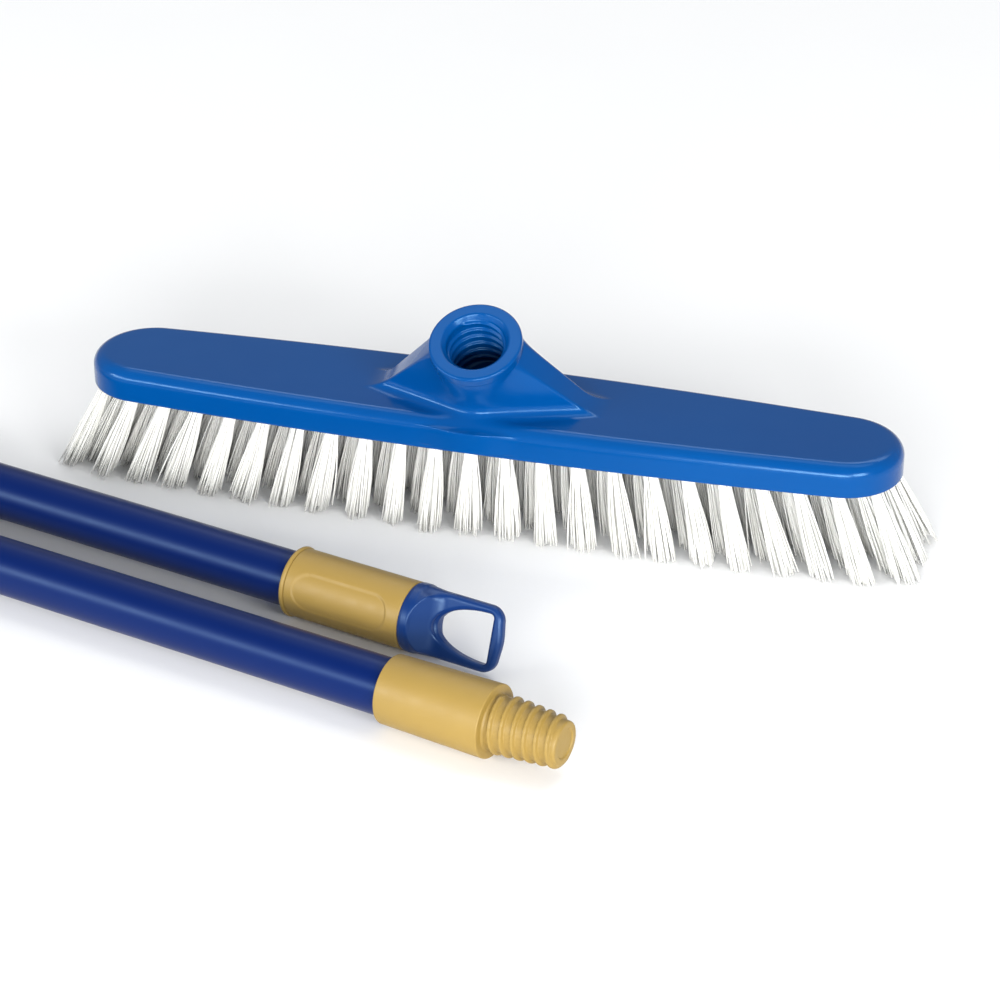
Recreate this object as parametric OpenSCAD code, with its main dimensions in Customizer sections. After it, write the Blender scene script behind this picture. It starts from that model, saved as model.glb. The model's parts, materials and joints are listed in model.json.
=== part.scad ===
// Scrubbing brush for pool walls with its two-piece screw-together pole.
// The head stands on its bristle tips and the two pole sections lie on the
// floor in front of it. Millimetres, +Z up, floor at z = 0, and the origin
// on the floor in the middle of the whole group.

/* [Brush block] */
// Length of the block
block_len = 310; // [260:5:360]
// Width of the block at its middle
block_w = 53; // [48:0.5:58]
// Width of the block where its round ends begin
block_end_w = 44; // [38:0.5:46]
// Height of the block
block_h = 12.4; // [11.5:0.1:16]
// Rounding of the block's top edge
block_round = 5.2; // [3:0.1:6]
// Chamfer of the block's bottom edge
block_chamfer = 0.8; // [0.4:0.1:1.5]

/* [Bristles] */
// Free height of the bristles under the block
bristle_h = 33; // [28:0.5:40]
// Distance between tufts along a row
tuft_pitch = 13.4; // [12:0.1:15]
// Tufts in the front, middle and back rows
tufts_long_row = 23; // [19:2:23]
// Radius of a tuft where it enters the block
tuft_r = 2.2; // [1.8:0.05:2.4]
// Radius of a tuft at its spread tip
tuft_tip_r = 4.1; // [2.6:0.1:4.6]
// Depth of the drilled tuft holes
tuft_depth = 8.6; // [7:0.1:9]
// Sideways lean of a tuft, as a share of its distance from the middle
fan_x = 0.105; // [0:0.005:0.12]
// Lean of the front and back rows away from the middle row
fan_y = 4.3; // [0:0.1:6]

/* [Pole socket] */
// Lean of the socket towards the front
socket_tilt = 28.5; // [20:0.5:35]
// Outer radius of the socket ring
socket_r = 17.15; // [15:0.05:18]
// Height of the middle of the socket's mouth above the floor
socket_mouth_z = 73.6; // [68:0.1:80]
// Depth of the threaded bore
socket_depth = 27; // [24:0.5:28]
// Half-length of the socket's side webs where they meet the block
web_reach = 42; // [36:1:50]
// Thickness of the side webs
web_t = 10.4; // [6:0.1:14]

/* [Pole screw thread] */
// Pitch of the thread
thread_pitch = 4.1; // [3.6:0.1:5]
// Radius of the bore over its thread crests
bore_crest_r = 9.9; // [9.8:0.05:10.1]
// Radius of the bore at its thread roots
bore_root_r = 10.9; // [10.7:0.05:11.2]
// Radius of the male thread's core at the shoulder
core_r = 9.35; // [9:0.05:9.5]
// Radius of the male thread's crests at the shoulder
crest_r = 10.5; // [10.2:0.05:10.6]
// How much smaller the male thread is at its tip
thread_taper = 1.8; // [0:0.1:2.2]
// Length of the male thread
thread_len = 26; // [22:0.5:26.5]

/* [Pole sections] */
// Length of each tube
tube_len = 600; // [300:10:800]
// Outer radius of the coated tube
tube_r = 10; // [9.6:0.05:10.2]
// Wall of the steel tube
steel_t = 0.4; // [0.3:0.05:0.8]
// Thickness of the plastic film on the tube
film_t = 0.3; // [0.15:0.01:0.4]
// Radius of the fittings that the sections lie on
fitting_r = 12.7; // [12.2:0.05:13]
// Length of a fitting's sleeve over the tube
sleeve_len = 36.6; // [30:0.1:45]
// Length of the grip collar
grip_len = 48; // [45:1:80]

/* [Layout on the floor] */
// Turn of the pole sections against the head
pole_turn = 13.8; // [8:0.1:18]
// Head's middle, measured from the group's middle, along X
head_x = 219.7; // [150:0.05:260]
// Head's middle, measured from the group's middle, along Y
head_y = 63.85; // [50:0.05:80]
// Upper section's grip end, measured from the head's middle, along X
upper_x = 5.5; // [0:0.5:20]
// Upper section's grip end, measured from the head's middle, along Y
upper_y = -108; // [-120:0.5:-100]
// Lower section's shoulder, measured from the head's middle, along X
lower_x = 50.5; // [30:0.5:60]
// Lower section's shoulder, measured from the head's middle, along Y
lower_y = -163.5; // [-180:0.5:-155]

/* [Hidden] */

eps = 0.01;
fine = 96;

// Block outline: two wide arcs and two round ends that touch them smoothly
block_top = bristle_h + block_h;
end_r = block_end_w / 2;
end_x = block_len / 2 - end_r;
side_r = (end_x * end_x + block_w * block_w / 4 - end_r * end_r) / (block_w - block_end_w);

// Tufts
tuft_inset = 5;
tuft_len = 60;
anchor = [4.9, 0.5, 2.2];
anchor_gap = 0.05;
hole_gap = 0.05;

// Socket skirt: share of the way down, and the extra radius there
SKIRT = [[0, 0], [0.42, 0], [0.68, 0.7], [0.86, 2.4], [1, 4.9]];
ring_h = 4;
ring_step = 0.3;
rim_round = 0.9;
mouth_chamfer = 1.9;
bore_mouth_r = bore_root_r + 1.6;
skirt_bottom_z = block_top - 1.7;
skirt_shift = 3.4;
socket_mouth_y = -(socket_mouth_z - block_top) * tan(socket_tilt) - 0.4;
skirt_drop = (socket_mouth_z - skirt_bottom_z) / cos(socket_tilt);

// Threads
female_ridges = floor((socket_depth - 2) / thread_pitch);
male_ridges = floor((thread_len - 0.5) / thread_pitch);

// Pole
steel_r = tube_r - film_t - 0.02;
tube_in_r = steel_r - steel_t;
sleeve_gap = 0.1;
plug_gap = 0.1;
shoulder_t = 3;

// Hanging cap: lengths along the pole are measured from the tube's end
loop_roll = 70;
flange_r = fitting_r - 0.5;
flange_h = 3.5;
neck_end = 9.2;
neck_w = 22.6;
loop_w = 23.6;
loop_end = 35;
loop_corner_r = 5.5;
loop_t = 4.6;
loop_edge = 1.4;
loop_hole_w = 17.8;
loop_hole_start = 10;
loop_hole_end = 30.8;
loop_hole_corner_r = 1.4;

BLOCK_BLUE = [0.0, 0.30, 0.66];
TUBE_NAVY = [0.02, 0.08, 0.36];
CAP_BLUE = [0.05, 0.16, 0.48];
TAN = [0.80, 0.66, 0.36];
BRISTLE_WHITE = [0.93, 0.93, 0.90];
STEEL = [0.66, 0.67, 0.69];

// ---------- helpers ----------

// Half of the block's width at a distance x from its middle
function half_width(x) =
    abs(x) > end_x
        ? sqrt(max(0, end_r * end_r - pow(abs(x) - end_x, 2)))
        : block_w / 2 - side_r + sqrt(side_r * side_r - x * x);

// Row of rounded ridges around the Z axis, from z = 0 up, on a core that narrows by shrink
module thread_ridges(count, inner, outer, shrink, w_inner, w_outer) {
    for (i = [0:count - 1]) {
        less = shrink * i / count;
        translate([0, 0, i * thread_pitch])
            rotate_extrude($fn = fine)
                polygon([
                    [inner - less, -w_inner / 2], [outer - less, -w_outer / 2],
                    [outer - less, w_outer / 2], [inner - less, w_inner / 2]
                ]);
    }
}

// Disc as high as the block, with its rounded top edge and chamfered bottom edge
module block_disc(r) {
    rotate_extrude($fn = 72)
        union() {
            polygon([
                [0, 0], [r - block_chamfer, 0], [r, block_chamfer],
                [r, block_h - block_round], [r - block_round, block_h], [0, block_h]
            ]);
            intersection() {
                translate([r - block_round, block_h - block_round])
                    circle(r = block_round, $fn = 40);
                square([r, block_h]);
            }
        }
}

// Discs along the middle line, each touching both long sides
module plain_block() {
    translate([0, 0, bristle_h])
        hull()
            for (share = [-1:0.25:1]) {
                x = share * end_x;
                translate([x, 0, 0])
                    block_disc(side_r - norm([x, side_r - block_w / 2]));
            }
}

// ---------- tufts ----------

// Puts children at tuft i of a row, with z pointing up into the block
module at_tuft(row, i, count) {
    x = (i - (count - 1) / 2) * tuft_pitch;
    y = row / 2 * (half_width(x) - tuft_inset);
    lean_x = fan_x * x;
    lean_y = row / 2 * fan_y;
    tilt = atan2(norm([lean_x, lean_y]), bristle_h);
    turn = norm([lean_x, lean_y]) > 0 ? atan2(lean_y, lean_x) : 0;
    translate([x, y, bristle_h])
        rotate([0, 0, turn])
            rotate([0, -tilt, 0])
                children();
}

function tufts_in(row) = abs(row) == 1 ? tufts_long_row - 1 : tufts_long_row;

module each_tuft(row) {
    for (i = [0:tufts_in(row) - 1])
        at_tuft(row, i, tufts_in(row)) children();
}

module anchor_bar(grow) {
    translate([-anchor[0] / 2 - grow, -anchor[1] / 2 - grow, tuft_depth - 3 - grow])
        cube([anchor[0] + 2 * grow, anchor[1] + 2 * grow, anchor[2] + 2 * grow]);
}

module tuft() {
    spread = (tuft_tip_r - tuft_r) / bristle_h;
    difference() {
        rotate_extrude($fn = 24)
            polygon([
                [0, tuft_depth], [tuft_r, tuft_depth], [tuft_r, 0],
                [tuft_r + spread * tuft_len, -tuft_len], [0, -tuft_len]
            ]);
        anchor_bar(anchor_gap);
    }
}

module bristle_row(row) {
    difference() {
        each_tuft(row) tuft();
        translate([-block_len, -block_w * 2, -tuft_len * 2])
            cube([2 * block_len, 4 * block_w, 2 * tuft_len]);
    }
}

module anchor_row(row) {
    each_tuft(row) anchor_bar(0);
}

module tuft_holes() {
    for (row = [-2:2])
        each_tuft(row)
            translate([0, 0, -3])
                cylinder(r = tuft_r + hole_gap, h = tuft_depth + 3, $fn = 24);
}

// ---------- head ----------

module at_head() {
    translate([head_x, head_y, 0]) children();
}

// z points out of the socket's mouth, from the middle of the mouth
module at_socket() {
    translate([0, socket_mouth_y, socket_mouth_z])
        rotate([socket_tilt, 0, 0])
            children();
}

// Thin slice of the skirt, a given share of the way down
module skirt_slice(share, extra) {
    down = ring_h * (1 - share) + skirt_drop * share;
    z = socket_mouth_z - down * cos(socket_tilt);
    y = socket_mouth_y + down * sin(socket_tilt);
    shift = skirt_shift * pow(share, 6);
    half = socket_r * 0.95 + (web_reach - socket_r * 0.95) * share;
    translate([0, y, z])
        rotate([socket_tilt * (1 - share), 0, 0])
            linear_extrude(eps) {
                translate([0, -shift]) circle(r = socket_r - ring_step + extra, $fn = 48);
                translate([-half, -web_t / 2]) square([2 * half, web_t]);
            }
}

module socket_outside() {
    for (i = [0:len(SKIRT) - 2])
        hull() {
            skirt_slice(SKIRT[i][0], SKIRT[i][1]);
            skirt_slice(SKIRT[i + 1][0], SKIRT[i + 1][1]);
        }
    at_socket()
        rotate_extrude($fn = fine)
            difference() {
                translate([0, -ring_h - 6]) square([socket_r, ring_h + 6]);
                difference() {
                    translate([socket_r - rim_round, -rim_round]) square(rim_round + 1);
                    translate([socket_r - rim_round, -rim_round])
                        circle(r = rim_round, $fn = fine);
                }
                translate([socket_r - 2 * ring_step, -ring_h - 7]) square([1, 7]);
            }
}

// Everything that is cut from a threaded hole whose mouth is at z = 0
module threaded_hole_cut(depth) {
    translate([0, 0, -depth]) cylinder(r = bore_crest_r, h = depth + 1, $fn = fine);
    translate([0, 0, -mouth_chamfer])
        cylinder(r1 = bore_root_r, r2 = bore_mouth_r, h = mouth_chamfer + eps, $fn = fine);
    translate([0, 0, -depth + 2.2])
        thread_ridges(female_ridges, bore_crest_r - 0.6, bore_root_r, 0, 3.0, 1.1);
}

module brush_block() {
    color(BLOCK_BLUE)
        at_head()
            difference() {
                union() {
                    plain_block();
                    socket_outside();
                }
                at_socket() threaded_hole_cut(socket_depth);
                tuft_holes();
            }
}

module bristles(row) {
    color(BRISTLE_WHITE) at_head() bristle_row(row);
}

module anchors(row) {
    color(STEEL) at_head() anchor_row(row);
}

// ---------- pole ----------

// z runs along the pole, and z = 0 is the section's end nearest the head's middle
module at_section(x, y, roll) {
    translate([head_x + x, head_y + y, fitting_r])
        rotate([0, 0, -pole_turn])
            rotate([0, 90, 0])
                rotate([0, 0, roll])
                    children();
}

// z = 0 is the end of the lower tube, inside the threaded fitting
module at_lower() {
    at_section(lower_x, lower_y, 0)
        translate([0, 0, -shoulder_t])
            children();
}

module at_upper() {
    at_section(upper_x, upper_y, loop_roll) children();
}

module tube_at(r_out, r_in) {
    translate([0, 0, -tube_len])
        difference() {
            cylinder(r = r_out, h = tube_len, $fn = fine);
            translate([0, 0, -1]) cylinder(r = r_in, h = tube_len + 2, $fn = fine);
        }
}

// Ring-shaped gap in a fitting that the end of a tube fills, up to z = 0
module tube_gap(length) {
    translate([0, 0, -length])
        difference() {
            cylinder(r = tube_r + sleeve_gap, h = length, $fn = fine);
            translate([0, 0, -1])
                cylinder(r = tube_in_r - plug_gap, h = length + 2, $fn = fine);
        }
}

// Sleeve, plug and tapered male thread in one moulding, for a tube that ends at z = 0
module threaded_plug() {
    hollow_r = 5.6;
    first_ridge = shoulder_t + 2.2;
    difference() {
        union() {
            translate([0, 0, -sleeve_len + shoulder_t])
                cylinder(r1 = fitting_r - 0.7, r2 = fitting_r, h = sleeve_len, $fn = fine);
            translate([0, 0, shoulder_t - eps])
                cylinder(r1 = core_r, r2 = core_r - thread_taper, h = thread_len + eps, $fn = fine);
            translate([0, 0, first_ridge])
                thread_ridges(male_ridges, core_r - 0.5, crest_r, thread_taper, 2.7, 0.7);
        }
        tube_gap(sleeve_len);
        translate([0, 0, -sleeve_len - 1])
            cylinder(r = hollow_r, h = sleeve_len + thread_len - shoulder_t + 1, $fn = fine);
    }
}

module lower_tube() {
    color(STEEL) at_lower() tube_at(steel_r, tube_in_r);
}

module lower_tube_film() {
    color(TUBE_NAVY) at_lower() tube_at(tube_r, tube_r - film_t);
}

module threaded_tip() {
    color(TAN) at_lower() threaded_plug();
}

// Sleeve with a threaded hole for the other section's spigot
module joint_sleeve() {
    over_tube = 32;
    reach = socket_depth + 2;
    color(TAN)
        at_lower()
            translate([0, 0, -tube_len])
                difference() {
                    translate([0, 0, -reach])
                        cylinder(r = fitting_r, h = reach + over_tube, $fn = fine);
                    cylinder(r = tube_r + sleeve_gap, h = over_tube + 1, $fn = fine);
                    translate([0, 0, -reach])
                        rotate([180, 0, 0])
                            threaded_hole_cut(socket_depth);
                }
}

module upper_tube() {
    color(STEEL) at_upper() tube_at(steel_r, tube_in_r);
}

module upper_tube_film() {
    color(TUBE_NAVY) at_upper() tube_at(tube_r, tube_r - film_t);
}

module joint_spigot() {
    color(TAN)
        at_upper()
            translate([0, 0, -tube_len])
                rotate([180, 0, 0])
                    threaded_plug();
}

// Sleeve with a rounded bead at one end and a shallow oval recess on its side
module grip_collar() {
    bead_r = 0.9;
    grip_r = fitting_r - 0.5;
    recess = [38, 13.5, 0.5];
    color(TAN)
        at_upper()
            difference() {
                union() {
                    translate([0, 0, -grip_len]) cylinder(r = grip_r, h = grip_len, $fn = fine);
                    translate([0, 0, -grip_len + bead_r])
                        rotate_extrude($fn = fine)
                            translate([fitting_r - bead_r, 0]) circle(r = bead_r, $fn = 32);
                }
                translate([0, 0, -grip_len - 1])
                    cylinder(r = tube_r + sleeve_gap, h = grip_len + 2, $fn = fine);
                intersection() {
                    difference() {
                        cylinder(r = grip_r + 1, h = 2 * grip_len, center = true, $fn = fine);
                        cylinder(r = grip_r - recess[2], h = 3 * grip_len, center = true, $fn = fine);
                    }
                    translate([0, 0, -grip_len / 2])
                        rotate([0, -90, 0])
                            linear_extrude(2 * grip_r)
                                oval(recess[0], recess[1]);
                }
            }
}

module oval(length, width) {
    square([length - width, width], center = true);
    for (side = [-1, 1])
        translate([side * (length - width) / 2, 0]) circle(d = width, $fn = fine);
}

// Outline of the hanging loop: x across, y along the pole. Its end bulges a little
module loop_outline() {
    bulge_r = loop_w / 2 - 1.2;
    hull() {
        translate([-neck_w / 2, flange_h + 1.5]) square([neck_w, 1]);
        translate([0, loop_end - bulge_r]) circle(r = bulge_r, $fn = 48);
        for (side = [-1, 1])
            translate([side * (loop_w / 2 - loop_corner_r), loop_end - 0.7 - loop_corner_r])
                circle(r = loop_corner_r, $fn = 48);
    }
}

// Half an ellipse with rounded corners, and its straight side at the loop's end
module loop_hole() {
    half_w = loop_hole_w / 2 - loop_hole_corner_r;
    straight = loop_hole_end - loop_hole_corner_r;
    reach = straight - loop_hole_start - loop_hole_corner_r;
    hull()
        for (angle = [0:15:180])
            translate([half_w * cos(angle), straight - reach * sin(angle)])
                circle(r = loop_hole_corner_r, $fn = 32);
}

// Stands the loop's flat outline up, with its y along the pole
module loop_upright() {
    rotate([0, -90, 0])
        rotate([0, 0, -90])
            children();
}

// Plate with chamfered edges
module loop_plate() {
    hull() {
        translate([0, 0, -loop_t / 2])
            linear_extrude(loop_t) offset(-loop_edge) loop_outline();
        translate([0, 0, loop_edge - loop_t / 2])
            linear_extrude(loop_t - 2 * loop_edge) loop_outline();
    }
}

// From the round flange into the flat plate
module cap_neck() {
    hull() {
        translate([0, 0, flange_h - 1]) cylinder(r = flange_r - 0.1, h = 1, $fn = 64);
        translate([-loop_t / 2, -neck_w / 2 + 0.3, neck_end - 1])
            cube([loop_t, neck_w - 0.6, 1]);
    }
}

// End cap with a plug inside the tube and a flat hanging loop outside
module hang_cap() {
    plug_len = 24;
    plug_in_r = 7;
    floor_t = 2;
    color(CAP_BLUE)
        at_upper()
            difference() {
                union() {
                    translate([0, 0, -plug_len])
                        cylinder(r = tube_in_r - plug_gap, h = plug_len + 1, $fn = fine);
                    cylinder(r = flange_r, h = flange_h, $fn = fine);
                    cap_neck();
                    loop_upright() loop_plate();
                }
                translate([0, 0, -plug_len - 1])
                    cylinder(r = plug_in_r, h = plug_len + 1 - floor_t, $fn = fine);
                loop_upright()
                    translate([0, 0, -loop_t]) linear_extrude(2 * loop_t) loop_hole();
            }
}

brush_block();
bristles(-2);  // bristles_front_row
bristles(-1);  // bristles_front_inner_row
bristles(0);  // bristles_middle_row
bristles(1);  // bristles_back_inner_row
bristles(2);  // bristles_back_row
anchors(-2);  // anchors_front_row
anchors(-1);  // anchors_front_inner_row
anchors(0);  // anchors_middle_row
anchors(1);  // anchors_back_inner_row
anchors(2);  // anchors_back_row
lower_tube();
lower_tube_film();
threaded_tip();
joint_sleeve();
upper_tube();
upper_tube_film();
joint_spigot();
grip_collar();
hang_cap();
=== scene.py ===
import itertools
import json
import math

import bpy
import numpy as np
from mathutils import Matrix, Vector


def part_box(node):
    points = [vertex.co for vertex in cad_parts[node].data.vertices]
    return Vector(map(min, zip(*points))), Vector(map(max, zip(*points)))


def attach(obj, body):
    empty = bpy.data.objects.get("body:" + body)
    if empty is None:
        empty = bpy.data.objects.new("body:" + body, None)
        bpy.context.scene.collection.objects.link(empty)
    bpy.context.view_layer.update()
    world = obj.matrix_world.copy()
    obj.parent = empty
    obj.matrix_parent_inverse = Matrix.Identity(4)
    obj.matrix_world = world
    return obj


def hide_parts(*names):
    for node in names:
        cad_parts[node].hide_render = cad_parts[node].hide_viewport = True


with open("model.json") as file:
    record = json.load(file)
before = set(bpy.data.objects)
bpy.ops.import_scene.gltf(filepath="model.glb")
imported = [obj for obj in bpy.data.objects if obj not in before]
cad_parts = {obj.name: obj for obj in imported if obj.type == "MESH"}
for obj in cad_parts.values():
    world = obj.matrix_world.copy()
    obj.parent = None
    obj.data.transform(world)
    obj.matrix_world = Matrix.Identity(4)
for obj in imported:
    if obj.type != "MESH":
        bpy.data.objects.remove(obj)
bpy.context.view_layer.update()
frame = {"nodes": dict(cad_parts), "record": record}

# Looks of a scrubbing brush head and its two-piece pole. Sizes are in millimetres in the CAD
# model's frame, and make_piece turns them into metres. Lights are placed in metres.
MM = 0.001


# ---------- places, read from the frame ----------

def box_mm(node):
    """A node's lowest and highest corners."""
    low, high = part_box(node)
    return np.array(low) / MM, np.array(high) / MM


def mount_mm(name):
    """A mount's place and its axis."""
    mount = next(m for m in frame["record"]["mounts"] if m["name"] == name)
    axis = np.array(mount["axis"], float)
    return np.array(mount["pos_m"], float) / MM, axis / np.linalg.norm(axis)


class Place:
    """A local frame, given by its origin and its x and z axes."""

    def __init__(self, origin, x_axis, z_axis):
        self.origin = np.array(origin, float)
        self.turn = np.stack([x_axis, np.cross(z_axis, x_axis), z_axis])

    def out(self, points):
        """Points of this frame in the outer one."""
        return points @ self.turn + self.origin

    def into(self, points):
        """Points of the outer frame in this one."""
        return (points - self.origin) @ self.turn.T


# Block: two wide arcs for its long sides, and a round end at the left and the right
BLOCK_W = 53.0
BLOCK_END_W = 44.0
BLOCK_H = 12.4
BLOCK_ROUND = 5.2
BLOCK_EDGE = 0.8
block_low, block_high = box_mm("brush_block")
BLOCK_LEN = block_high[0] - block_low[0]
BLOCK_BOTTOM = block_low[2]
BLOCK_TOP = BLOCK_BOTTOM + BLOCK_H
HEAD = np.array([(block_low[0] + block_high[0]) / 2, block_high[1] - BLOCK_W / 2, 0.0])
END_R = BLOCK_END_W / 2
END_X = BLOCK_LEN / 2 - END_R
SIDE_R = (END_X**2 + BLOCK_W**2 / 4 - END_R**2) / (BLOCK_W - BLOCK_END_W)

# Threaded bore, the same in the socket and in the pole's joint. The mount is in the middle of it.
BORE_DEPTH = 27.0
BORE_CREST_R = 9.9
BORE_ROOT_R = 10.9
PITCH = 4.1
BORE_THREAD_TURNS = (-BORE_DEPTH / PITCH - 1, -0.62)
MOUTH_R = 12.5
MOUTH_H = 1.9
BORE_MOUNT_DOWN = 13.0

# Socket: a ring at the mouth, and a skirt that flares into two side webs on the block
RING_R = 17.15
RING_H = 4.0
RING_STEP = 0.3
RING_EDGE = 1.0
SKIRT_SINK = 1.7
SKIRT_FLARE = 4.9
SKIRT_FLARE_POWER = 4.9
SKIRT_SHIFT = 3.4
SKIRT_SHIFT_POWER = 6
SKIRT_FILLET = 5.0
WEB_START = RING_R * 0.95
WEB_REACH = 42.0
WEB_T = 10.4
socket_point, socket_axis = mount_mm("pole_socket")
SOCKET = Place(socket_point + BORE_MOUNT_DOWN * socket_axis - HEAD, (1, 0, 0), socket_axis)
SOCKET_TILT = math.atan2(-socket_axis[1], socket_axis[2])

# Pole sections: z runs along the tube from 0 at its end, out to the tip or the hanging loop
TUBE_R = 10.0
TUBE_LEN = 600.0
FITTING_R = 12.7
SLEEVE_LEN = 36.6
GRIP_LEN = 48.0
SLEEVE_R = TUBE_R + 0.1
PLUG_R = 9.18
SHOULDER_T = 3.0
LOOP_MOUNT_OUT = 20.0
tip_point, pole_axis = mount_mm("screw_tip")
loop_point, loop_normal = mount_mm("hanging_loop")
LOWER = Place(tip_point, (0, 0, -1), pole_axis)
UPPER = Place(loop_point - LOOP_MOUNT_OUT * pole_axis, -loop_normal, pole_axis)


# ---------- meshes ----------

def volume(points, triangles):
    """A number with the sign of the volume inside a closed mesh."""
    a, b, c = (points[triangles[:, i]] for i in range(3))
    return float((a * np.cross(b, c)).sum())


def make_piece(name, points, faces, material, body, node, sharp=None):
    """A piece of the object, which stands for a CAD node. Its faces are all triangles or all
    quads, and edges that turn by more than sharp degrees stay sharp."""
    faces = np.asarray(faces, np.int32)
    if volume(points - points.mean(0), faces[:, :3]) < 0:
        faces = faces[:, ::-1]
    mesh = bpy.data.meshes.new(name)
    mesh.vertices.add(len(points))
    mesh.vertices.foreach_set("co", (points * MM).astype(np.float32).ravel())
    mesh.loops.add(faces.size)
    mesh.loops.foreach_set("vertex_index", faces.ravel())
    mesh.polygons.add(len(faces))
    starts = np.arange(0, faces.size, faces.shape[1], dtype=np.int32)
    mesh.polygons.foreach_set("loop_start", starts)
    mesh.update(calc_edges=True)
    mesh.validate()
    mesh.shade_smooth()
    if sharp:
        mesh.set_sharp_from_angle(angle=math.radians(sharp))
    mesh.materials.append(material)
    piece = bpy.data.objects.new(name, mesh)
    bpy.context.scene.collection.objects.link(piece)
    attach(piece, body)
    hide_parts(node)
    return piece


def compact(points, faces):
    """The mesh without the points that no face uses."""
    used, faces = np.unique(faces, return_inverse=True)
    return points[used], faces.reshape(-1, 3)


def grid_triangles(index, wrap_rows=False):
    """Triangles of a grid of point numbers whose last column joins its first, and whose last row
    joins its first too where wrap_rows is true."""
    rows = np.concatenate([index, index[:1]]) if wrap_rows else index
    a, b = rows[:-1], rows[1:]
    c, d = np.roll(b, -1, axis=1), np.roll(a, -1, axis=1)
    found = np.concatenate([np.stack([a, b, c], -1), np.stack([a, c, d], -1)]).reshape(-1, 3)
    whole = (
        (found[:, 0] != found[:, 1]) & (found[:, 1] != found[:, 2]) & (found[:, 0] != found[:, 2])
    )
    return found[whole]


def lathe(radii, heights, columns, wrap_rows=False):
    """Surface around the z axis. radii holds a number or a full turn for each height, and a row
    of radius zero closes to a point."""
    angles = 2 * math.pi * np.arange(columns) / columns
    radii = np.stack([np.broadcast_to(r, columns) for r in radii])
    heights = np.stack([np.broadcast_to(z, columns) for z in heights])
    points = np.stack([radii * np.cos(angles), radii * np.sin(angles), heights], -1)
    index = np.arange(radii.size).reshape(radii.shape)
    closed = radii.max(axis=1) == 0
    index[closed] = index[closed][:, :1]
    return compact(points.reshape(-1, 3), grid_triangles(index, wrap_rows))


BEVEL_STEPS = 4


def soften(corners):
    """Radii and heights of a profile through (radius, height, bevel) corners. Each corner between
    the two ends is rounded over its bevel."""
    spots = [np.array(c[:2], float) for c in corners]
    out = []
    for i, (spot, corner) in enumerate(zip(spots, corners)):
        if i in (0, len(corners) - 1) or corner[2] == 0:
            out.append(spot)
            continue
        back, ahead = spots[i - 1] - spot, spots[i + 1] - spot
        start = spot + back / np.linalg.norm(back) * corner[2]
        end = spot + ahead / np.linalg.norm(ahead) * corner[2]
        for t in np.linspace(0, 1, BEVEL_STEPS + 1):
            out.append((1 - t) ** 2 * start + 2 * t * (1 - t) * spot + t**2 * end)
    return [p[0] for p in out], [p[1] for p in out]


# Reach of a slope's two samples, and the limits of the steps that pull points to a surface
SLOPE_STEP = 0.04
PULL_ROUNDS = 3
LONGEST_PULL = 0.35
LEAST_SLOPE_SQUARED = 0.05


def slope(distance, points):
    """Gradient of a distance function at points."""
    steps = np.eye(3) * SLOPE_STEP
    found = [distance(points + s) - distance(points - s) for s in steps]
    return np.stack(found, -1) / (2 * SLOPE_STEP)


def pull_to_surface(distance, points):
    """Points moved onto the surface, by a few short steps along the slope."""
    for _ in range(PULL_ROUNDS):
        gap, lean = distance(points), slope(distance, points)
        move = (gap / np.maximum((lean**2).sum(1), LEAST_SLOPE_SQUARED))[:, None] * lean
        length = np.linalg.norm(move, axis=1, keepdims=True)
        points = points - move * np.minimum(1, LONGEST_PULL / np.maximum(length, 1e-9))
    return points


def crossing_points(values, lines, cells):
    """For each cell, the mean of the places where the surface crosses its edges."""
    total, crossings = np.zeros((len(cells), 3)), np.zeros((len(cells), 1))
    step = np.eye(3, dtype=int)
    for axis in range(3):
        one, two = (axis + 1) % 3, (axis + 2) % 3
        for j, k in itertools.product((0, 1), repeat=2):
            a = cells + j * step[one] + k * step[two]
            b = a + step[axis]
            va, vb = values[tuple(a.T)], values[tuple(b.T)]
            crossed = ((va < 0) != (vb < 0))[:, None]
            share = np.where(crossed[:, 0], va / np.where(va == vb, 1, va - vb), 0)[:, None]
            pa = np.stack([lines[i][a[:, i]] for i in range(3)], 1)
            pb = np.stack([lines[i][b[:, i]] for i in range(3)], 1)
            total += crossed * (pa + share * (pb - pa))
            crossings += crossed
    return total / crossings


def net_quads(inside, index):
    """A quad around each grid edge that the surface crosses, through the four cells beside it."""
    step = np.eye(3, dtype=int)
    faces = []
    for axis in range(3):
        one, two = (axis + 1) % 3, (axis + 2) % 3
        last = inside.shape[axis] - 1
        near, far = inside.take(range(last), axis), inside.take(range(1, last + 1), axis)
        edges = np.argwhere(near != far)
        quad = np.stack([
            index[tuple((edges - step[one] - step[two]).T)],
            index[tuple((edges - step[two]).T)],
            index[tuple(edges.T)],
            index[tuple((edges - step[one]).T)],
        ], 1)
        starts_outside = ~inside[tuple(edges.T)]
        quad[starts_outside] = quad[starts_outside][:, ::-1]
        faces.append(quad)
    return np.concatenate(faces)


def surface_net(distance, lines):
    """Closed quad mesh of the surface where distance is zero, on the grid of these three lines."""
    values = np.stack([
        distance(np.stack(np.meshgrid([x], lines[1], lines[2], indexing="ij"), -1)[0])
        for x in lines[0]
    ])
    inside = values < 0
    size = np.array(inside.shape) - 1
    corners_inside = sum(
        inside[i : size[0] + i, j : size[1] + j, k : size[2] + k].astype(np.int8)
        for i, j, k in itertools.product((0, 1), repeat=3)
    )
    active = (corners_inside > 0) & (corners_inside < 8)
    index = np.full(active.shape, -1)
    index[active] = np.arange(active.sum())
    points = crossing_points(values, lines, np.argwhere(active))
    return pull_to_surface(distance, points), net_quads(inside, index)


# ---------- distance functions ----------

def rounded_corner(a, b, radius):
    """Where both a and b are negative, with the edge between them rounded."""
    out = np.hypot(np.maximum(a + radius, 0), np.maximum(b + radius, 0))
    return np.minimum(np.maximum(a + radius, b + radius), 0) + out - radius


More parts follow.
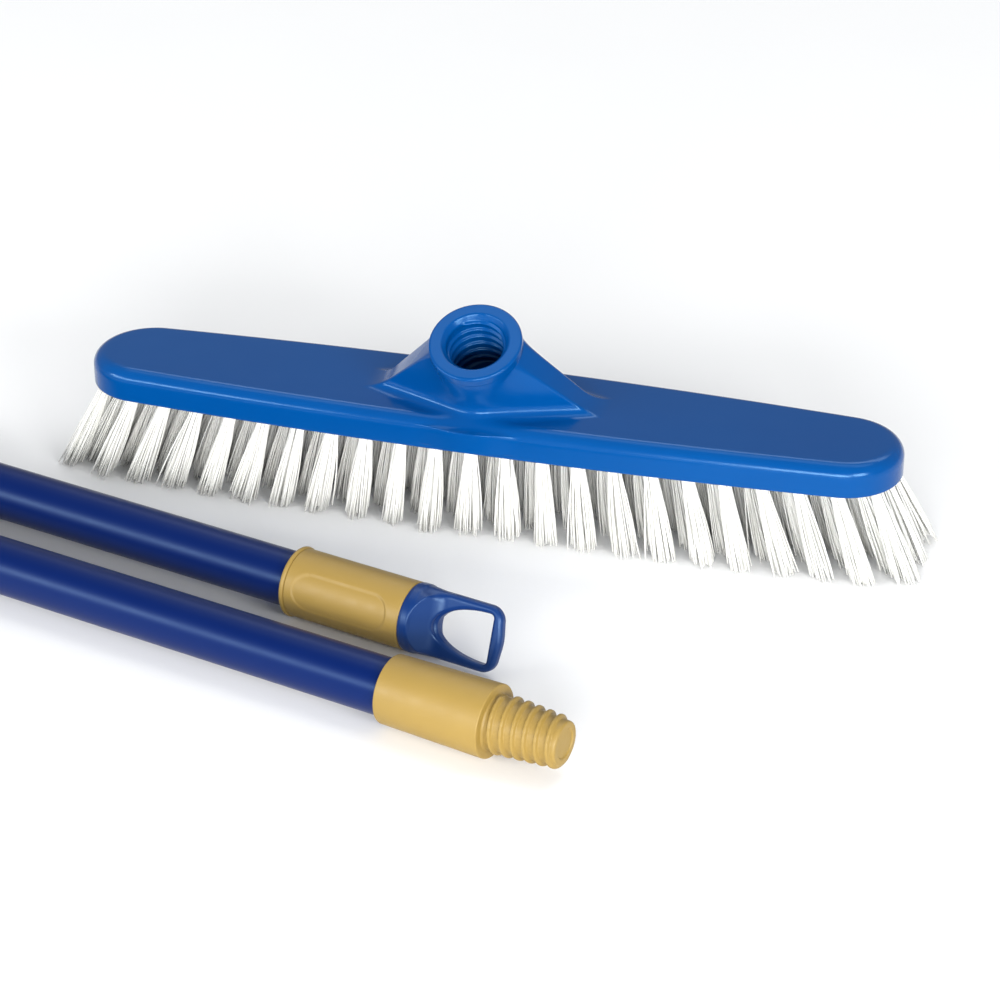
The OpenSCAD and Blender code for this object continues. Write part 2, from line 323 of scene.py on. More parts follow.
def smooth_min(a, b, reach):
    """The smaller of two distances, blended where they differ by less than reach."""
    near = np.maximum(reach - np.abs(a - b), 0) / reach
    return np.minimum(a, b) - near**2 * reach / 4


def smooth_max(a, b, reach):
    """The larger of two distances, blended where they differ by less than reach."""
    return -smooth_min(-a, -b, reach)


def smooth_step(t):
    """An even rise from 0 to 1 with level ends."""
    t = np.clip(t, 0, 1)
    return t * t * (3 - 2 * t)


RIDGE_FADE = 0.05


def thread_ridge(turn, height, turns, foot_w, crest_w):
    """How high a right-handed ridge stands, from 0 to 1, at an angle in turns and a height. It
    runs from the first to the last of turns and fades in and out over a short stretch. It is
    foot_w wide where it starts to rise and crest_w at its top."""
    first, last = turns
    phase = height / PITCH - turn
    nearest = np.round(phase)
    along = turn + nearest
    off = np.abs(phase - nearest) * PITCH
    shape = smooth_step((foot_w / 2 - off) / (foot_w / 2 - crest_w / 2))
    ends = smooth_step((along - first) / RIDGE_FADE) * smooth_step((last - along) / RIDGE_FADE)
    return shape * ends


def outline_distance(x, y):
    """Distance from the block's outline: two wide arcs and two round ends."""
    x, y = np.abs(x), np.abs(y)
    centre = SIDE_R - BLOCK_W / 2
    arc = np.hypot(x, y + centre) - SIDE_R
    end = np.hypot(x - END_X, y) - END_R
    return np.where(x * centre < END_X * (y + centre), arc, end)


def block_distance(x, y, z):
    """Distance from the block, which is rounded at its top edge and slightly at its bottom."""
    side = outline_distance(x, y)
    top = rounded_corner(side, z - BLOCK_TOP, BLOCK_ROUND)
    return np.maximum(top, rounded_corner(side, BLOCK_BOTTOM - z, BLOCK_EDGE))


def skirt_slice(y, z):
    """The slice of the skirt that a point lies in, as a share of the way from the ring, 0, to the
    block, 1, with the point's place across the slice and its height over it. Slices are square to
    the bore at the ring and turn level on the way down."""
    rounds, slowest, last_share = 6, 5, 1.1
    lean, upright = math.sin(SOCKET_TILT), math.cos(SOCKET_TILT)
    mouth = SOCKET.origin
    fall = (mouth[2] - BLOCK_TOP + SKIRT_SINK) / upright - RING_H
    share = np.zeros_like(y)
    for _ in range(rounds):
        down = RING_H + fall * share
        tilt = SOCKET_TILT * (1 - share)
        from_y, from_z = y - mouth[1] - down * lean, z - mouth[2] + down * upright
        above = from_z * np.cos(tilt) - from_y * np.sin(tilt)
        across = from_y * np.cos(tilt) + from_z * np.sin(tilt)
        rate = fall * np.cos(SOCKET_TILT - tilt) + across * SOCKET_TILT
        share = np.clip(share - above / np.maximum(rate, slowest), 0, last_share)
    return share, across, above


def skirt_distance(x, y, z):
    """The socket's body below the ring: each slice is a circle that flares, drawn out to a web
    with flat sides at the left and the right."""
    web_slope, web_edge, top_edge = 0.8, 0.9, 0.1
    share, across, above = skirt_slice(y, z)
    radius = RING_R - RING_STEP + SKIRT_FLARE * share**SKIRT_FLARE_POWER
    half = WEB_START + (WEB_REACH - WEB_START) * share
    slide = SKIRT_SHIFT * share**SKIRT_SHIFT_POWER
    u, v = np.abs(x), across + slide
    sides = []
    for side in (-1, 1):
        corner_v = side * WEB_T / 2 + slide
        reach = np.hypot(half, corner_v)
        angle = np.arctan2(corner_v, half) + side * np.arccos(np.minimum(radius / reach, 1))
        flat = u * np.cos(angle) + v * np.sin(angle) - radius
        past = side * (np.arctan2(v, u) - angle) > 0
        sides.append(np.where(past, np.hypot(u, v) - radius, flat))
    body = smooth_max(np.maximum(*sides), (u - half) * web_slope, web_edge)
    return smooth_max(body, np.where(share <= 0, above, -1.0), top_edge)


def bore_distance(radius, turn, height):
    """Threaded bore with a chamfered mouth, whose mouth is at height 0. Negative in the hole. The
    two slopes make up for walls that aren't square to the radius."""
    foot_w, crest_w = 2.2, 0.5
    thread_slope, cone_slope = 0.8, 0.76
    floor_round, cone_round = 0.4, 0.25
    ridge = thread_ridge(turn, height, BORE_THREAD_TURNS, foot_w, crest_w)
    wall = radius - BORE_ROOT_R + (BORE_ROOT_R - BORE_CREST_R) * ridge
    cone = (radius - MOUTH_R - height * (MOUTH_R - BORE_ROOT_R) / MOUTH_H) * cone_slope
    hole = smooth_max(wall * thread_slope, -BORE_DEPTH - height, floor_round)
    return smooth_min(hole, np.maximum(cone, -MOUTH_H - height), cone_round)


def head_distance(points):
    """Distance from the brush head's moulding, in the head's own frame. The socket is worked out
    only near itself."""
    side_room, bottom_room = 12, 2
    ring_round, mouth_round = 0.15, 0.3
    x, y, z = (points[..., i] for i in range(3))
    found = block_distance(x, y, z)
    near = (np.abs(x) < WEB_REACH + side_room) & (z > BLOCK_BOTTOM + bottom_room)
    if not near.any():
        return found
    local = SOCKET.into(points[near])
    radius, height = np.hypot(local[:, 0], local[:, 1]), local[:, 2]
    turn = np.arctan2(local[:, 1], local[:, 0]) / (2 * math.pi)
    skirt = skirt_distance(x[near], y[near], z[near])
    ring = np.maximum(rounded_corner(radius - RING_R, height, RING_EDGE), -RING_H - height)
    solid = smooth_min(smooth_min(found[near], skirt, SKIRT_FILLET), ring, ring_round)
    found[near] = smooth_max(solid, -bore_distance(radius, turn, height), mouth_round)
    return found


# ---------- materials ----------

def add_node(tree, kind, **values):
    """A shader node with its inputs or its own settings set by name."""
    node = tree.nodes.new(kind)
    for key, value in values.items():
        if key in node.inputs:
            node.inputs[key].default_value = value
        else:
            setattr(node, key, value)
    return node


def noise(tree, coordinates, scale, detail, stretch):
    """Noise over the object, with scale features in a metre, times stretch along each axis."""
    mapping = add_node(tree, "ShaderNodeMapping", Scale=stretch)
    texture = add_node(tree, "ShaderNodeTexNoise", Scale=scale, Detail=detail)
    tree.links.new(coordinates, mapping.inputs["Vector"])
    tree.links.new(mapping.outputs["Vector"], texture.inputs["Vector"])
    return texture.outputs["Fac"]


def spread(tree, value, low, high):
    """Noise, which mostly lies from 0.3 to 0.7, spread from low to high."""
    mapped = add_node(tree, "ShaderNodeMapRange")
    for key, number in (("From Min", 0.3), ("From Max", 0.7), ("To Min", low), ("To Max", high)):
        mapped.inputs[key].default_value = number
    tree.links.new(value, mapped.inputs["Value"])
    return mapped.outputs["Result"]


def mix_colours(tree, share, first, second):
    """A colour between first and second, by a share from 0 to 1."""
    mix = add_node(tree, "ShaderNodeMix", data_type="RGBA")
    mix.inputs["A"].default_value = (*first, 1)
    mix.inputs["B"].default_value = (*second, 1)
    tree.links.new(share, mix.inputs["Factor"])
    return mix.outputs["Result"]


def surface(name, colour, shade, roughness, patches, grain, grain_depth, stretch=(1, 1, 1),
            **shader):
    """A procedural material: colour drifts between colour and shade, with that many patches in a
    metre, roughness drifts between two values in finer patches, and a grain stands in relief,
    grain_depth millimetres deep. shader holds the shader's own values."""
    patch_detail, grain_detail, finer = 3.0, 4.0, 7
    material = bpy.data.materials.new(name)
    material.use_nodes = True
    tree = material.node_tree
    principled = tree.nodes["Principled BSDF"]
    for key, value in shader.items():
        principled.inputs[key.replace("_", " ")].default_value = value
    coordinates = add_node(tree, "ShaderNodeTexCoord").outputs["Object"]
    drift = spread(tree, noise(tree, coordinates, patches, patch_detail, stretch), 0, 1)
    fine = noise(tree, coordinates, patches * finer, grain_detail, stretch)
    rough = spread(tree, fine, *roughness)
    relief = noise(tree, coordinates, grain, patch_detail, stretch)
    bump = add_node(tree, "ShaderNodeBump", Strength=1.0, Distance=grain_depth * MM)
    tree.links.new(mix_colours(tree, drift, colour, shade), principled.inputs["Base Color"])
    tree.links.new(rough, principled.inputs["Roughness"])
    tree.links.new(relief, bump.inputs["Height"])
    tree.links.new(bump.outputs["Normal"], principled.inputs["Normal"])
    return material


def bristle_surface():
    """White nylon whose strands differ a little in shade."""
    material = surface(
        "bristle_nylon", (0.80, 0.80, 0.775), (0.77, 0.77, 0.745), (0.38, 0.55), 60, 900, 0.01,
        stretch=(1, 1, 0.15), Specular_IOR_Level=0.3,
    )
    tree = material.node_tree
    principled = tree.nodes["Principled BSDF"]
    plain = principled.inputs["Base Color"].links[0].from_socket
    strand = add_node(tree, "ShaderNodeAttribute", attribute_name="strand_shade")
    mix = add_node(tree, "ShaderNodeMix", data_type="RGBA", blend_type="MULTIPLY")
    mix.inputs["Factor"].default_value = 1.0
    tree.links.new(plain, mix.inputs["A"])
    tree.links.new(mix_colours(tree, strand.outputs["Fac"], (0.93, 0.925, 0.90), (1, 1, 1)),
                   mix.inputs["B"])
    tree.links.new(mix.outputs["Result"], principled.inputs["Base Color"])
    return material


def make_materials():
    """The materials, by the record's material slots."""
    return {
        "block_plastic": surface(
            "block_plastic", (0.0, 0.053, 0.216), (0.0, 0.049, 0.205), (0.16, 0.22), 18, 420, 0.006,
            Specular_IOR_Level=0.34, Specular_Tint=(0.4, 0.75, 1.0, 1)),
        "bristle_fibre": bristle_surface(),
        "anchor_wire": surface(
            "anchor_wire", (0.60, 0.61, 0.63), (0.50, 0.51, 0.53), (0.3, 0.45), 200, 3000, 0.02,
            Metallic=1.0),
        "tube_steel": surface(
            "tube_steel", (0.58, 0.59, 0.61), (0.50, 0.51, 0.53), (0.28, 0.4), 40, 1500, 0.015,
            Metallic=1.0),
        "tube_film": surface(
            "tube_film", (0.0, 0.0075, 0.075), (0.0, 0.007, 0.07), (0.33, 0.37), 8, 500, 0.002,
            Specular_IOR_Level=0.3, Specular_Tint=(0.4, 0.65, 1.0, 1)),
        "fitting_plastic": surface(
            "fitting_plastic", (0.285, 0.186, 0.042), (0.265, 0.172, 0.038), (0.42, 0.56), 35, 1300,
            0.03, Specular_IOR_Level=0.42),
        "cap_plastic": surface(
            "cap_plastic", (0.001, 0.021, 0.12), (0.001, 0.019, 0.11), (0.32, 0.42), 30, 900, 0.012,
            Specular_IOR_Level=0.5, Specular_Tint=(0.5, 0.75, 1.0, 1)),
    }


# ---------- studio ----------

def aim(thing, place, target):
    """Puts a camera or light at a place and turns it to a target."""
    thing.location = Vector(place)
    thing.rotation_mode = "QUATERNION"
    thing.rotation_quaternion = (Vector(target) - Vector(place)).to_track_quat("-Z", "Y")


def make_camera():
    """Looks at the head and the pole's near ends from the front, the right and well above."""
    place, target = (278.65, -946.86, 548.21), (27.02, -76.64, 45.0)
    data = bpy.data.cameras.new("camera")
    data.lens, data.sensor_width = 108, 36
    data.clip_start, data.clip_end = 0.05, 50
    camera = bpy.data.objects.new("camera", data)
    bpy.context.scene.collection.objects.link(camera)
    aim(camera, (HEAD + place) * MM, (HEAD + target) * MM)
    bpy.context.scene.camera = camera


def make_floor():
    """A wide sheet of matt white paper under everything."""
    half = 6000.0
    corners = np.array([[-1, -1, 0], [1, -1, 0], [1, 1, 0], [-1, 1, 0]]) * half * MM
    mesh = bpy.data.meshes.new("floor")
    mesh.from_pydata(corners.tolist(), [], [(0, 1, 2, 3)])
    material = surface(
        "floor_paper", (0.91, 0.91, 0.91), (0.895, 0.895, 0.895), (0.75, 0.9), 2, 300, 0.05)
    mesh.materials.append(material)
    floor = bpy.data.objects.new("floor", mesh)
    bpy.context.scene.collection.objects.link(floor)


def make_light(name, place, target, size, watts):
    """A rectangular soft light; place and target are in metres from the head's middle."""
    data = bpy.data.lights.new(name, "AREA")
    data.shape = "RECTANGLE"
    data.size, data.size_y = size
    data.energy = watts
    light = bpy.data.objects.new(name, data)
    bpy.context.scene.collection.objects.link(light)
    middle = HEAD * MM
    aim(light, middle + np.array(place), middle + np.array(target))


def make_lights():
    """Three low soft boxes in front, a strip overhead, and a wash on the floor behind."""
    low = (0, -0.05, 0.03)
    make_light("front", (0.45, -1.9, 0.45), low, (1.0, 0.5), 36)
    make_light("right", (1.35, -1.35, 0.62), low, (0.8, 0.5), 28)
    make_light("left", (-1.35, -1.35, 0.62), low, (1.5, 0.3), 24)
    make_light("top", (0, 0.35, 2.1), low, (2.2, 0.8), 9)
    make_light("behind", (0, 2.4, 3.0), (0, 2.4, 0), (3.6, 1.2), 44)
    world = bpy.data.worlds.new("studio")
    world.use_nodes = True
    background = world.node_tree.nodes["Background"]
    background.inputs["Color"].default_value = (0.94, 0.97, 1.0, 1)
    background.inputs["Strength"].default_value = 0.4
    bpy.context.scene.world = world
    bpy.context.scene.view_settings.view_transform = "Standard"


# ---------- head ----------

def fine_line(stretches):
    """Grid line through (start, end, step) stretches that follow each other."""
    parts = [np.arange(start, end - step / 2, step) for start, end, step in stretches]
    return np.concatenate([*parts, [stretches[-1][1]]])


FINE_CELL = 0.33


def make_block(material):
    """The head's moulding: block, socket, webs and threaded bore in one closed mesh. Its grid is
    finest around the socket and coarsest along the plain stretches of the block."""
    room = 1.6
    half_len, half_w = BLOCK_LEN / 2 + room, BLOCK_W / 2 + room
    socket_x, web_x, end_x = 20, 48, 128
    socket_front, socket_back, socket_top = -34.5, 2, 83
    low, level = BLOCK_BOTTOM - 1.4, BLOCK_TOP + 1.5
    side = [(socket_x, web_x, 0.5), (web_x, end_x, 1.2), (end_x, half_len, 0.6)]
    mirrored = [(-end, -start, step) for start, end, step in side[::-1]]
    lines = (
        fine_line([*mirrored, (-socket_x, socket_x, FINE_CELL), *side]),
        fine_line([(socket_front, socket_back, FINE_CELL), (socket_back, half_w, 0.55)]),
        fine_line([(low, level, 0.4), (level, socket_top, FINE_CELL)]),
    )
    points, faces = surface_net(head_distance, lines)
    make_piece("block_moulding", points + HEAD, faces, material, "brush_head",
               "brush_block")


# Tufts, in five rows. A tuft leans out towards the nearer end of the block, by FAN_X for each
# millimetre from the middle, and the two outermost rows lean out sideways by FAN_Y.
ROWS = {"front_row": -2, "front_inner_row": -1, "middle_row": 0, "back_inner_row": 1, "back_row": 2}
TUFT_PITCH = 13.4
LONG_ROW = 23
ROW_INSET = 5.0
TUFT_R = 2.2
TUFT_TIP_R = 4.6
TUFT_TIP_SPREAD = (0.88, 1.08)
TUFT_DRIFT = 0.5
FAN_X = 0.1
FAN_Y = 4.3

# Strands of a tuft. A few stray further out and a few are shorter than the rest.
STRANDS = 84
STRAND_R = 0.3
STRAND_SIDES = 4
STRAND_STEPS = (-0.12, 0.12, 0.34, 0.56, 0.78, 1.0)
STRAND_WOBBLE = 0.45
STRAND_BOW = 0.35
STRAY_SHARE = 0.05
STRAY_REACH = (0.6, 2.4)
LENGTH_SPREAD = 0.045
SHORT_SHARE = 0.12
SHORT_BY = 0.05
OPENING_POWER = 1.15


def tuft_places(row):
    """Roots and leans of a row's tufts, in the head's frame."""
    count = LONG_ROW - abs(row) % 2
    x = (np.arange(count) - (count - 1) / 2) * TUFT_PITCH
    width = np.where(np.abs(x) > END_X,
                     np.sqrt(np.maximum(END_R**2 - (np.abs(x) - END_X) ** 2, 0)),
                     BLOCK_W / 2 - SIDE_R + np.sqrt(SIDE_R**2 - x**2))
    root = np.stack([x, row / 2 * (width - ROW_INSET)], 1)
    lean = np.stack([FAN_X * x, np.full(count, row / 2 * FAN_Y)], 1)
    return root, lean


def strand_lines(row, random):
    """Middle lines of a row's strands: points of shape (strand, step, 3), steps from the root
    inside the block down to the tip."""
    root, lean = (np.repeat(part, STRANDS, axis=0) for part in tuft_places(row))
    count = len(root)
    tufts = count // STRANDS
    tuft = np.repeat(np.arange(tufts), STRANDS)
    out, turn = np.sqrt(random.random(count)), random.random(count) * 2 * math.pi
    spoke = np.stack([np.cos(turn), np.sin(turn)], 1)
    tip_r = TUFT_TIP_R * random.uniform(*TUFT_TIP_SPREAD, tufts)[tuft]
    stray = (random.random(count) < STRAY_SHARE) * random.uniform(*STRAY_REACH, count)
    wobble = random.normal(0, STRAND_WOBBLE, (count, 2))
    whole_tuft = random.normal(0, TUFT_DRIFT, (tufts, 2))[tuft]
    tip = spoke * (tip_r * out + stray)[:, None] + wobble + whole_tuft
    length = 1 - np.abs(random.normal(0, LENGTH_SPREAD, count))
    length = length - SHORT_BY * (random.random(count) < SHORT_SHARE)
    bow = random.normal(0, STRAND_BOW, (count, 2)) + spoke * STRAND_BOW
    lines = []
    for share in STRAND_STEPS:
        t = share * length if share > 0 else np.full(count, share)
        open_up = np.maximum(t, 0)[:, None] ** OPENING_POWER
        place = root + lean * t[:, None] + spoke * (out * TUFT_R)[:, None] * (1 - open_up)
        place = place + tip * open_up + bow * np.sin(np.pi * open_up)
        lines.append(np.column_stack([place, BLOCK_BOTTOM * (1 - t)]))
    return np.stack(lines, 1)


def strands_mesh(lines):
    """Thin tubes along the lines, each closed at both ends."""
    count, steps = lines.shape[:2]
    angles = 2 * math.pi * np.arange(STRAND_SIDES) / STRAND_SIDES
    ring = np.column_stack([np.cos(angles), np.sin(angles), np.zeros(STRAND_SIDES)]) * STRAND_R
    tubes = lines[:, :, None, :] + ring
    ends = np.stack([lines[:, 0], lines[:, -1]], 1)
    points = np.concatenate([tubes.reshape(count, -1, 3), ends], 1)
    ring_points = steps * STRAND_SIDES
    index = np.arange(ring_points).reshape(steps, STRAND_SIDES)
    first = np.full((1, STRAND_SIDES), ring_points)
    last = first + 1
    one = grid_triangles(np.concatenate([first, index, last]))
    faces = one[None] + (np.arange(count) * points.shape[1])[:, None, None]
    return points.reshape(-1, 3), faces.reshape(-1, 3)


def make_bristles(material):
    """A piece for each row, whose strands each have a shade of their own."""
    first_seed = 40
    for name, row in ROWS.items():
        random = np.random.default_rng(first_seed + row)
        lines = strand_lines(row, random)
        points, faces = strands_mesh(lines)
        piece = make_piece(f"{name}_strands", points + HEAD, faces, material, "brush_head",
                           f"bristles_{name}")
        shade = np.repeat(random.random(len(lines)), len(points) // len(lines))
        attribute = piece.data.attributes.new("strand_shade", "FLOAT", "POINT")
        attribute.data.foreach_set("value", shade.astype(np.float32))


# ---------- pole fittings ----------

# Tapered male thread on the tip and the spigot
CORE_R = 9.35
CREST_R = 10.5
THREAD_TAPER = 1.8
THREAD_LEN = 26.0
TIP_EDGE = 0.7
THREAD_TURNS = (0.45, THREAD_LEN / PITCH - 0.08)

# Lathe columns, the height between rows of a thread, and the angle over which an edge is sharp
COLUMNS = 144
THREAD_ROW = 0.2
SHARP_EDGE = 40


def male_thread_radius(turn, height):
    """Radius of the tapered thread at an angle in turns and a height over the shoulder."""
    foot_w, crest_w = 2.1, 0.6
    less = THREAD_TAPER * np.clip(height / THREAD_LEN, 0, 1)
    ridge = thread_ridge(turn, height, THREAD_TURNS, foot_w, crest_w)
    return CORE_R - less + (CREST_R - CORE_R) * ridge


def make_threaded_plug(name, place, material, body, node):
    """Sleeve, plug and tapered thread in one moulding. The shoulder is at z = 0."""
    turn = np.arange(COLUMNS) / COLUMNS
    tube_end = -SHOULDER_T
    sleeve_end = tube_end - SLEEVE_LEN
    hollow_r, hollow_end = 5.6, THREAD_LEN - 6
    foot_step, foot_h = 0.5, 0.6
    dish_edge, dish_slope, dish_depth = 2.2, 0.4, 0.4
    outer = soften([(0, 0, 0), (hollow_r, sleeve_end, 0.2), (PLUG_R, sleeve_end, 0.2),
                    (PLUG_R, tube_end, 0.2), (SLEEVE_R, tube_end, 0.2),
                    (SLEEVE_R, sleeve_end, 0.25), (FITTING_R - 0.7, sleeve_end, 0.5),
                    (FITTING_R, 0, 0.55), (CORE_R + foot_step, 0, 0.25), (CORE_R, foot_h, 0.0)])
    radii, heights = [0, hollow_r, *outer[0][1:]], [hollow_end, hollow_end, *outer[1][1:]]
    for height in np.arange(foot_h + THREAD_ROW, THREAD_LEN - TIP_EDGE, THREAD_ROW):
        radii.append(male_thread_radius(turn, height))
        heights.append(height)
    tip_r = CORE_R - THREAD_TAPER
    for angle in np.linspace(0, math.pi / 2, 5):
        radii.append(tip_r - TIP_EDGE * (1 - math.cos(angle)))
        heights.append(THREAD_LEN - TIP_EDGE + TIP_EDGE * math.sin(angle))
    radii += [tip_r - dish_edge, tip_r - dish_edge - dish_slope, 0]
    heights += [THREAD_LEN, THREAD_LEN - dish_depth, THREAD_LEN - dish_depth]
    points, faces = lathe(radii, heights, COLUMNS)
    make_piece(name, place.out(points), faces, material, body, node,
               sharp=SHARP_EDGE)


def make_joint_sleeve(material):
    """Sleeve over the lower tube's far end, with a threaded hole for the other section."""
    turn = np.arange(COLUMNS) / COLUMNS
    over_tube, wall = 32.0, 2.0
    foot_w, crest_w = 3.0, 1.0
    rim_w, rim_band = 0.4, 6
    tube_stop = -BORE_DEPTH - wall
    sleeve_end = tube_stop - over_tube
    radii, heights = [0, BORE_CREST_R], [-BORE_DEPTH, -BORE_DEPTH]
    for height in np.arange(-BORE_DEPTH + THREAD_ROW, -MOUTH_H, THREAD_ROW):
        ridge = thread_ridge(turn, height, BORE_THREAD_TURNS, foot_w, crest_w)
        radii.append(BORE_ROOT_R - (BORE_ROOT_R - BORE_CREST_R) * ridge)
        heights.append(height)
    # The ring of points at rim_band keeps the rim's smooth shading off the long wall.
    mouth = soften([(BORE_ROOT_R, -MOUTH_H, 0), (MOUTH_R - rim_w, 0, 0.2), (FITTING_R, 0, 0.15),
                    (FITTING_R, -rim_band, 0), (FITTING_R, sleeve_end, 0.5),
                    (SLEEVE_R, sleeve_end, 0.2), (SLEEVE_R, tube_stop, 0.2), (0, tube_stop, 0)])
    radii, heights = [*radii, *mouth[0]], [*heights, *mouth[1]]
    points, faces = lathe(radii, heights, COLUMNS)
    mouth_point, mouth_axis = mount_mm("section_sleeve")
    place = Place(mouth_point + BORE_MOUNT_DOWN * mouth_axis, (0, 0, 1), mouth_axis)
    make_piece("sleeve_moulding", place.out(points), faces, material, "lower_pole_section",
               "joint_sleeve", sharp=SHARP_EDGE)


def oval_distance(x, y, length, width):
    """Distance from an oval with straight sides and round ends."""
    return np.hypot(np.maximum(np.abs(x) - (length - width) / 2, 0), y) - width / 2


def make_grip_collar(material):
    """Collar with a rounded bead at one end and a sunken oval panel on its side."""
    grip_r, bead_r = FITTING_R - 0.5, 0.9
    panel_len, panel_w, panel_depth, panel_slope = 38, 13.5, 0.5, 0.7
    end_bevel, row_h = 0.35, 0.35
    turn = np.arange(COLUMNS) / COLUMNS
    angle = (turn + 0.5) % 1 * 2 * math.pi - math.pi
    side = grip_r * np.where(angle > 0, math.pi - angle, -math.pi - angle)
    radii, heights = [SLEEVE_R, SLEEVE_R], [0, -GRIP_LEN]
    for t in np.linspace(-0.5, 0.5, 9):
        radii.append(FITTING_R - bead_r + bead_r * math.cos(t * math.pi))
        heights.append(-GRIP_LEN + bead_r + bead_r * math.sin(t * math.pi))
    for height in np.arange(-GRIP_LEN + 2 * bead_r + 0.3, -0.4, row_h):
        off = oval_distance(height + GRIP_LEN / 2, side, panel_len, panel_w)
        radii.append(grip_r - panel_depth * smooth_step(0.5 - off / panel_slope))
        heights.append(height)
    radii += [grip_r, grip_r - end_bevel]
    heights += [-end_bevel, 0]
    points, faces = lathe(radii, heights, COLUMNS, wrap_rows=True)
    make_piece("grip_moulding", UPPER.out(points), faces, material, "upper_pole_section",
               "grip_collar", sharp=SHARP_EDGE)


def hull_of_circles(circles):
    """Distance function of the convex outline around (x, y, radius) circles: the largest of its
    supporting lines' distances."""
    directions = 96
    angles = np.linspace(0, 2 * math.pi, directions, endpoint=False)
    normals = np.column_stack([np.cos(angles), np.sin(angles)])
    support = np.max([normals @ np.array(c[:2]) + c[2] for c in circles], axis=0)

    def distance(x, y):
        return np.max([x * n[0] + y * n[1] - s for n, s in zip(normals, support)], axis=0)
    return distance


# Hanging cap: a plug in the tube, a round flange, and a neck that thins into the loop's plate
CAP_PLUG_LEN = 24.0
CAP_PLUG_IN_R = 7.0
CAP_FLOOR_T = 2.0
FLANGE_R = FITTING_R - 0.5
FLANGE_H = 3.5
NECK_W = 22.6
NECK_END = 10.5
LOOP_T = 4.6
LOOP_W = 23.6
LOOP_START = FLANGE_H + 2.5
LOOP_END = 35.0
LOOP_CORNER_R = 5.5
LOOP_END_BULGE = 0.7

# The loop's hole: half an ellipse, with its flat side towards the end of the loop
HOLE_HALF_W = 7.5
HOLE_STRAIGHT = 29.4
HOLE_REACH = 18.0
HOLE_CORNER_R = 1.4
HOLE_FLARE = 0.9
HOLE_FLARE_H = 1.2


def loop_circles():
    """Circles whose hull is the loop's outline, as (x, y, radius)."""
    start_r = 1
    bulge_r = LOOP_W / 2 - 1.2
    start_x, corner_x = NECK_W / 2 - start_r, LOOP_W / 2 - LOOP_CORNER_R
    corner_y = LOOP_END - LOOP_END_BULGE - LOOP_CORNER_R
    starts = [(side * start_x, LOOP_START, start_r) for side in (-1, 1)]
    corners = [(side * corner_x, corner_y, LOOP_CORNER_R) for side in (-1, 1)]
    return [*starts, *corners, (0, LOOP_END - bulge_r, bulge_r)]


loop_outline = hull_of_circles(loop_circles())
loop_hole = hull_of_circles([
    (HOLE_HALF_W * math.cos(a), HOLE_STRAIGHT - HOLE_REACH * math.sin(a), HOLE_CORNER_R)
    for a in np.linspace(0, math.pi, 25)])


def plug_distance(radius, z):
    """Distance from the cap's hollow plug, which reaches a little into the flange."""
    end_round, overlap = 0.6, 1
    plug = np.maximum(rounded_corner(radius - PLUG_R, -CAP_PLUG_LEN - z, end_round), z - overlap)
    return np.maximum(plug, -np.maximum(radius - CAP_PLUG_IN_R, z + CAP_FLOOR_T))


def neck_distance(x, y, z, radius):
    """Distance from the neck, which tapers from the flange's width and thickness to the loop's."""
    side_slope, side_round = 0.6, 2.0
    gap, narrowing, overlap = 0.1, 1.5, 2
    along = np.maximum(z - FLANGE_H, 0) / (NECK_END - FLANGE_H)
    half_t = FLANGE_R - (FLANGE_R - LOOP_T / 2) * along
    half_w = FLANGE_R - (FLANGE_R - NECK_W / 2 + narrowing) * along
    neck = np.maximum(radius - FLANGE_R + gap, (np.abs(x) - half_t) * side_slope)
    neck = smooth_max(neck, np.abs(y) - half_w, side_round)
    return np.maximum(neck, FLANGE_H - overlap - z)


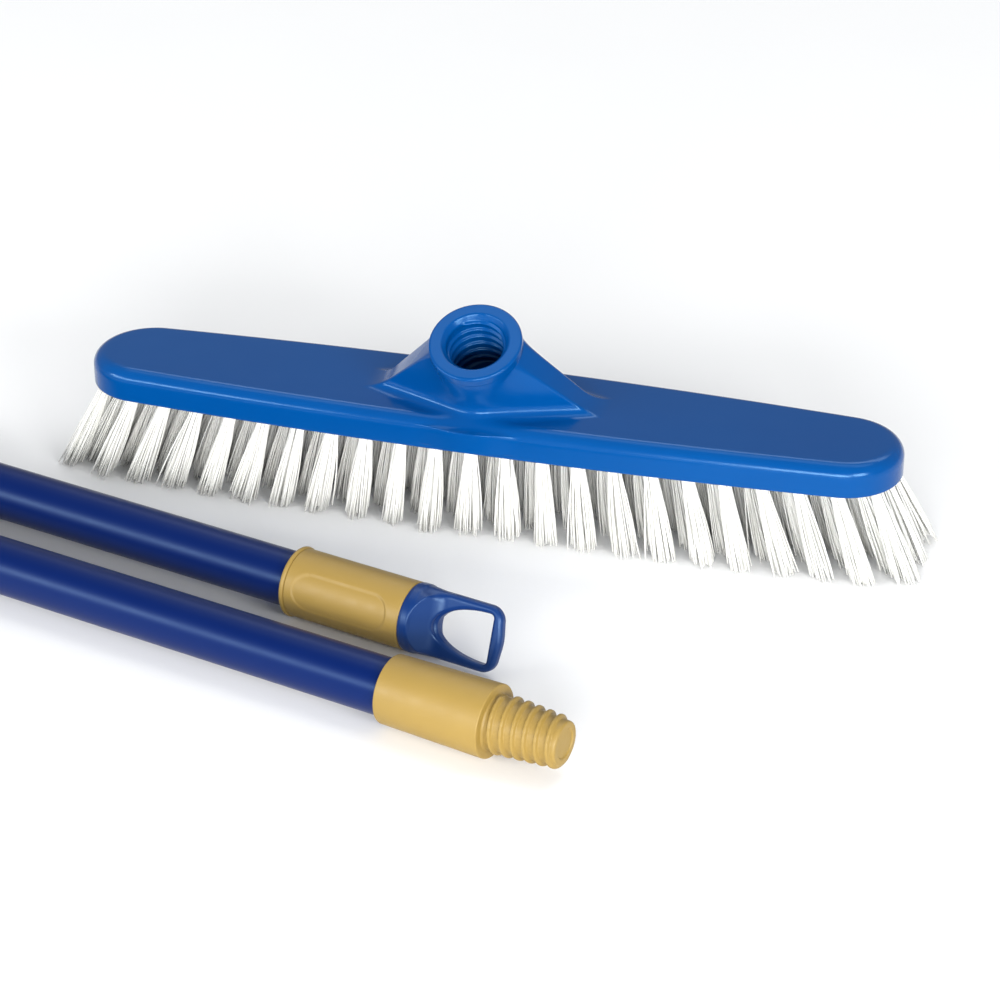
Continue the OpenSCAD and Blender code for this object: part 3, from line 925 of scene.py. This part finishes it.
def cap_distance(points):
    """Distance from the hanging cap, with the hole's edges flared to both faces."""
    flange_round, plate_round, hole_round = 0.5, 1.7, 0.5
    neck_blend, plate_blend, plug_blend = 1.2, 3.2, 0.1
    x, y, z = (points[..., i] for i in range(3))
    radius = np.hypot(x, y)
    flange_off = np.abs(z - FLANGE_H / 2) - FLANGE_H / 2
    flange = rounded_corner(radius - FLANGE_R, flange_off, flange_round)
    plate = rounded_corner(loop_outline(y, z), np.abs(x) - LOOP_T / 2, plate_round)
    solid = smooth_min(flange, neck_distance(x, y, z, radius), neck_blend)
    solid = smooth_min(solid, plate, plate_blend)
    solid = smooth_min(solid, plug_distance(radius, z), plug_blend)
    flare_share = np.clip((np.abs(x) - LOOP_T / 2 + HOLE_FLARE_H) / HOLE_FLARE_H, 0, 1)
    return smooth_max(solid, -(loop_hole(y, z) - HOLE_FLARE * flare_share**2), hole_round)


def make_hang_cap(material):
    """The cap in one closed mesh, with a coarser grid along its plug."""
    half_t, half_w, plug_cell = 13.2, 13.4, 0.6
    plug_end, plug_start, loop_end = -CAP_PLUG_LEN - 1, -0.6, LOOP_END + 1.4
    lines = (fine_line([(-half_t, half_t, FINE_CELL)]), fine_line([(-half_w, half_w, FINE_CELL)]),
             fine_line([(plug_end, plug_start, plug_cell), (plug_start, loop_end, FINE_CELL)]))
    points, faces = surface_net(cap_distance, lines)
    make_piece("cap_moulding", UPPER.out(points), faces, material, "upper_pole_section",
               "hang_cap")


# ---------- everything ----------

def dress_cad_nodes(materials):
    """Gives each CAD node the material of its slot."""
    for row in frame["record"]["subparts"]:
        mesh = frame["nodes"][row["node"]].data
        mesh.materials.clear()
        mesh.materials.append(materials[row["material_slot"]])


make_camera()
make_floor()
make_lights()
materials = make_materials()
dress_cad_nodes(materials)
make_block(materials["block_plastic"])
make_bristles(materials["bristle_fibre"])
tan = materials["fitting_plastic"]
make_threaded_plug("tip_moulding", LOWER, tan, "lower_pole_section", "threaded_tip")
far_shoulder = UPPER.out(np.array([0, 0, -TUBE_LEN - SHOULDER_T]))
FAR = Place(far_shoulder, (0, 0, -1), -pole_axis)
make_threaded_plug("spigot_moulding", FAR, tan, "upper_pole_section", "joint_spigot")
make_joint_sleeve(tan)
make_grip_collar(tan)
make_hang_cap(materials["cap_plastic"])
